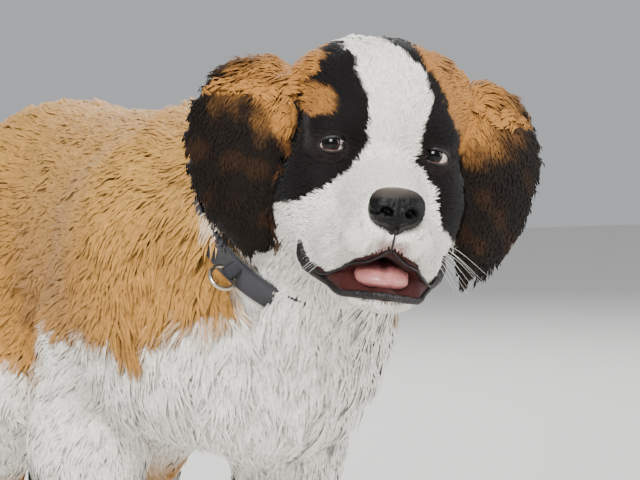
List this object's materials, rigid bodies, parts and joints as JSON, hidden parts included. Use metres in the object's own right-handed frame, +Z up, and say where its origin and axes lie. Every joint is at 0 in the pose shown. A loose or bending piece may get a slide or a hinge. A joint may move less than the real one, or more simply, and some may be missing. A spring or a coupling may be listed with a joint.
{
  "type": "saint bernard puppy",
  "caption": "Saint Bernard puppy standing, head turned a little to its right with the mouth open; white, tan and black coat, long dark ears and a dark webbing collar.",
  "frame": {"origin": "on the floor, under the middle of the box round the whole dog", "axes": "+Z up from the floor, -Y is the way the dog faces, +X is the dog's own left side"},
  "size_m": [0.3126, 0.834, 0.5853],
  "materials": {
    "tan_coat": "soft tan coat of a puppy",
    "white_coat": "soft white coat of a puppy",
    "ear_coat": "dark brown coat of the ears",
    "nose_leather": "moist grained nose leather",
    "tongue_flesh": "moist pink tongue",
    "eye_glass": "wet dark brown eye",
    "claw_horn": "horn of the claws",
    "collar_webbing": "dark woven webbing",
    "ring_steel": "plated steel ring"
  },
  "bodies": {
    "root": {"collar": "collar_webbing", "collar_ring": "ring_steel", "ear_left": "ear_coat", "ear_right": "ear_coat", "eye_left": "eye_glass", "eye_right": "eye_glass", "fore_left_leg": "white_coat", "fore_left_paw": "white_coat", "fore_right_leg": "white_coat", "fore_right_paw": "white_coat", "head": "white_coat", "hind_left_leg": "white_coat", "hind_left_paw": "white_coat", "hind_right_leg": "white_coat", "hind_right_paw": "white_coat", "jaw": "white_coat", "neck": "white_coat", "nose": "nose_leather", "tail": "tan_coat", "tongue": "tongue_flesh", "torso": "tan_coat"}
  },
  "joints": []
}
